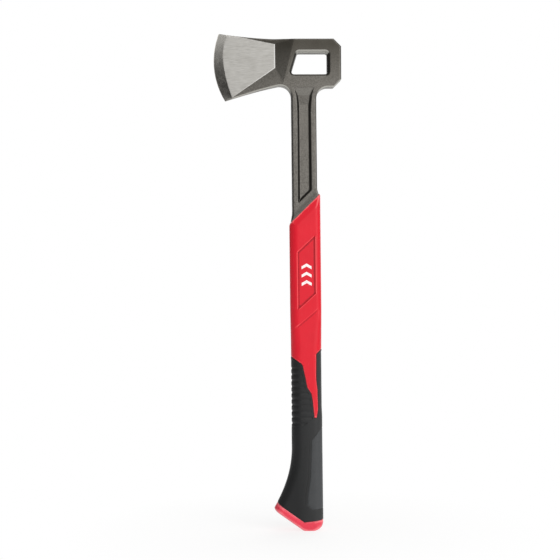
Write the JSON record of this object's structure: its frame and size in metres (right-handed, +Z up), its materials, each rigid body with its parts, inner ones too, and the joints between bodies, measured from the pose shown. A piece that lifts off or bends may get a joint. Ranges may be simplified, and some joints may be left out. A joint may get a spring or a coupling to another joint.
{
  "type": "fire axe",
  "caption": "Single-bit axe with a flat poll, a windowed head forged in one piece with its I-beam shank, and a two-colour moulded handle that flares at the butt.",
  "frame": {"origin": "middle of the flat under the butt cap, below the axis of the handle", "axes": "+Z up the handle to the head, +X towards the poll, the cutting edge at -X, Y through the thickness"},
  "size_m": [0.1693, 0.032, 0.6613],
  "materials": {
    "forged_steel": "blasted forging with ground cheeks and a polished edge bevel",
    "damper_rubber": "plain",
    "red_nylon": "satin moulded, with a plain white printed mark",
    "black_grip": "fine matte texture",
    "grey_grip": "fine stipple",
    "cap_nylon": "satin moulded",
    "pin_steel": "plain"
  },
  "bodies": {
    "root": {"head_forging": "forged_steel", "tang_sleeve": "damper_rubber", "handle_body": "red_nylon", "grip_overmold": "black_grip", "palm_pad": "grey_grip", "butt_cap": "cap_nylon", "tang_pin_upper": "pin_steel", "tang_pin_lower": "pin_steel"}
  },
  "joints": []
}
